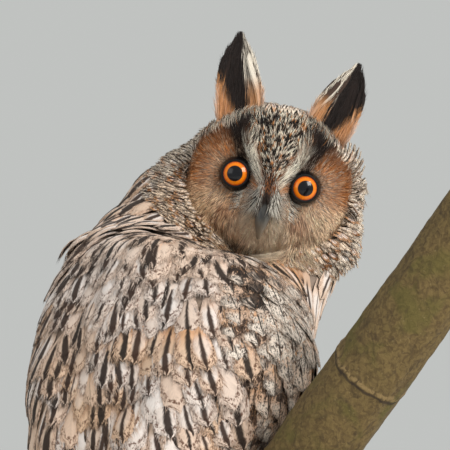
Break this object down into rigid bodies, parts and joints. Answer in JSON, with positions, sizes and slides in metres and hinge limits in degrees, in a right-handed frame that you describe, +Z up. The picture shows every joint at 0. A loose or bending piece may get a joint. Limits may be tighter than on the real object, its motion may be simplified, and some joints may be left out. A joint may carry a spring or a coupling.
{
  "type": "long-eared owl",
  "caption": "Life-size still model of an eared owl gripping a cut branch, seen from behind with its head turned back over the shoulder, on a plain display stand.",
  "frame": {"origin": "on the floor, at the middle of the underside of the display base", "axes": "+Z up; the owl's back and its turned face are towards -Y; +X is to the right of someone who looks at the face"},
  "size_m": [0.2612, 0.2417, 0.3604],
  "materials": {
    "plumage": "matte feathers, buff and grey-white streaked dark brown",
    "face": "matte feathers, rufous facial disc with pale brows and a speckled rim",
    "tuft": "matte feathers, black-brown with buff and white edges",
    "downy": "short soft buff feathers",
    "iris": "wet glossy eye, orange iris round a blue-black pupil",
    "horn": "satin dark grey horn",
    "bark": "rough olive-brown bark",
    "board": "satin dark stained wood",
    "steel": "satin black paint"
  },
  "bodies": {
    "root": {"torso": "plumage", "neck": "plumage", "tail": "plumage", "head": "face", "bill_upper": "horn", "bill_lower": "horn", "left_eye": "iris", "left_ear_tuft": "tuft", "left_wing": "plumage", "left_leg": "downy", "left_foot": "downy", "left_claw_1": "horn", "left_claw_2": "horn", "left_claw_3": "horn", "left_claw_4": "horn", "right_eye": "iris", "right_ear_tuft": "tuft", "right_wing": "plumage", "right_leg": "downy", "right_foot": "downy", "right_claw_1": "horn", "right_claw_2": "horn", "right_claw_3": "horn", "right_claw_4": "horn", "perch_branch": "bark", "stand_base": "board", "stand_rod_front": "steel", "stand_rod_back": "steel"}
  },
  "joints": []
}
